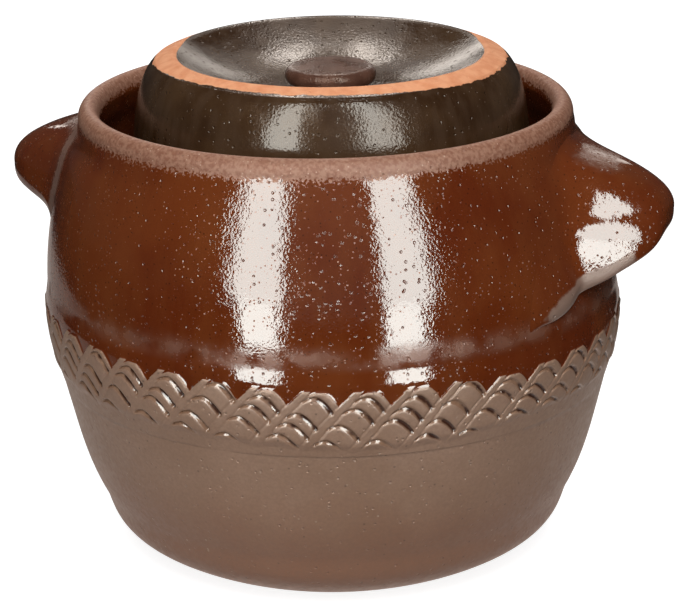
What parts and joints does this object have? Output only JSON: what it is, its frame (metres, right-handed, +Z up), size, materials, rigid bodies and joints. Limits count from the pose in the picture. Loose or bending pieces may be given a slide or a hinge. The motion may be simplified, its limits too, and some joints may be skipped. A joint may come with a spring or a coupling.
{
  "type": "water-seal fermentation crock",
  "caption": "Glazed stoneware fermentation crock with ear handles, a water channel round the mouth, a bell lid with a button knob, and half-moon weight stones.",
  "frame": {"origin": "centre of the foot, on the surface that the crock stands on", "axes": "+Z up along the turning axis, +X through the middle of the right ear handle, -Y to the front"},
  "size_m": [0.296, 0.2496, 0.2172],
  "materials": {
    "red_brown_glaze": "glossy red-brown glaze on stoneware, satin below the belt",
    "dark_channel_glaze": "glossy dark brown glaze",
    "ear_glaze": "glossy red-brown glaze, thin and grey at the lip",
    "black_brown_glaze": "glossy black-brown glaze with a bare terracotta ring",
    "knob_glaze": "thin satin glaze on top, dark gloss on the side",
    "unglazed_stone": "matte unglazed stoneware"
  },
  "bodies": {
    "crock": {"crock_body": "red_brown_glaze", "water_channel_collar": "dark_channel_glaze", "handle_left": "ear_glaze", "handle_right": "ear_glaze"},
    "lid": {"lid_shell": "black_brown_glaze", "lid_knob": "knob_glaze"},
    "stone_left": {"weight_stone_left": "unglazed_stone"},
    "stone_right": {"weight_stone_right": "unglazed_stone"}
  },
  "joints": [
    {"name": "lid_lift", "type": "slide", "parent": "crock", "child": "lid", "axis": [0, 0, 1], "range_m": [0, 0.1]},
    {"name": "stone_left_lift", "type": "slide", "parent": "crock", "child": "stone_left", "axis": [0, 0, 1], "range_m": [0, 0.15]},
    {"name": "stone_right_lift", "type": "slide", "parent": "crock", "child": "stone_right", "axis": [0, 0, 1], "range_m": [0, 0.15]}
  ]
}
